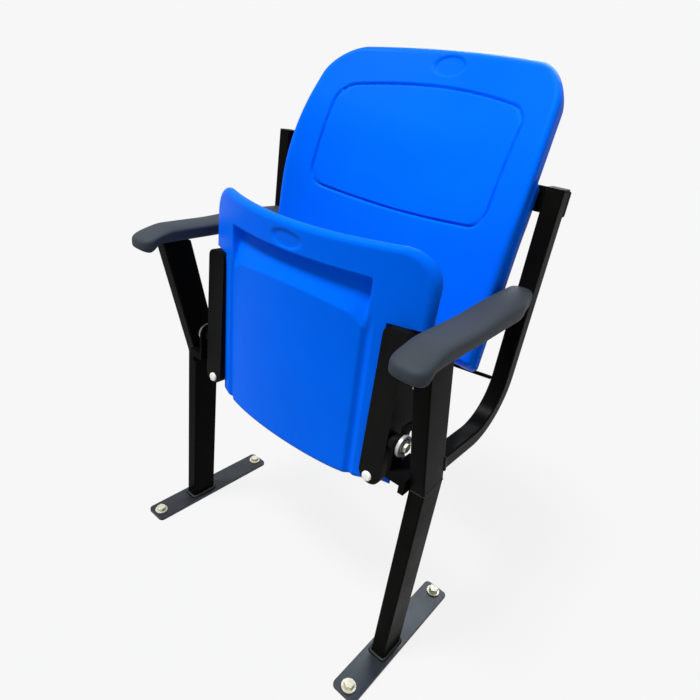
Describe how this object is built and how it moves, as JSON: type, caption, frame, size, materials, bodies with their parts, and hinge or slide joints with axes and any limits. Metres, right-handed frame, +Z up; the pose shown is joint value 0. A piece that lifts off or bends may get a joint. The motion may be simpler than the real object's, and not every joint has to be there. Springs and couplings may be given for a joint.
{
  "type": "tip-up stadium seat",
  "caption": "Tip-up spectator seat: moulded backrest and sprung folding seat shell between two tube side frames with armrests and floor plates.",
  "frame": {"origin": "middle of the overall box on the floor: X on the seat's middle plane, Y midway front to back, Z on the undersides of the floor plates", "axes": "+X to the viewer's right, the sitter's left, +Y to the rear, +Z up; the seat is tipped up at rest"},
  "size_m": [0.5614, 0.4332, 0.9097],
  "materials": {
    "frame": "semi-gloss black powder coat",
    "shell": "blue moulded plastic, satin sheen",
    "arm": "matte dark slate plastic",
    "cover": "black moulded plastic",
    "zinc": "bright zinc plate",
    "nylon": "grey bearing plastic",
    "cap": "white glossy plastic",
    "spring": "dark oiled spring steel"
  },
  "bodies": {
    "frame": {"backrest": "shell", "cross_rod": "frame", "left_floor_plate": "frame", "left_leg_tube": "frame", "left_arm_strut": "frame", "left_back_tube": "frame", "left_tube_cap": "cover", "left_pivot_bracket": "frame", "left_pivot_bolt": "zinc", "left_pivot_washer": "nylon", "left_pivot_nut": "zinc", "left_arm_plate": "frame", "left_armrest": "arm", "left_arm_screw": "zinc", "left_back_bracket": "frame", "left_back_bolt": "zinc", "left_rod_clip": "cover", "left_clip_screw": "zinc", "left_front_floor_washer": "zinc", "left_front_floor_bolt": "zinc", "left_rear_floor_washer": "zinc", "left_rear_floor_bolt": "zinc", "right_floor_plate": "frame", "right_leg_tube": "frame", "right_arm_strut": "frame", "right_back_tube": "frame", "right_tube_cap": "cover", "right_pivot_bracket": "frame", "right_pivot_bolt": "zinc", "right_pivot_washer": "nylon", "right_pivot_nut": "zinc", "right_arm_plate": "frame", "right_armrest": "arm", "right_arm_screw": "zinc", "right_back_bracket": "frame", "right_back_bolt": "zinc", "right_rod_clip": "cover", "right_clip_screw": "zinc", "right_front_floor_washer": "zinc", "right_front_floor_bolt": "zinc", "right_rear_floor_washer": "zinc", "right_rear_floor_bolt": "zinc"},
    "seat": {"seat_shell": "shell", "left_hinge_cover": "cover", "left_cover_screw": "zinc", "left_cap_screw": "zinc", "left_screw_cap": "cap", "left_pivot_bush": "cover", "left_stop_pin": "zinc", "left_return_spring": "spring", "right_hinge_cover": "cover", "right_cover_screw": "zinc", "right_cap_screw": "zinc", "right_screw_cap": "cap", "right_pivot_bush": "cover", "right_stop_pin": "zinc", "right_return_spring": "spring"}
  },
  "joints": [
    {"name": "seat_tip", "type": "hinge", "parent": "frame", "child": "seat", "pos_m": [0, -0.10763, 0.406], "axis": [1, 0, 0], "range_deg": [0, 82], "stiffness_Nm_per_rad": 1.6, "springref_deg": -34.38}
  ]
}
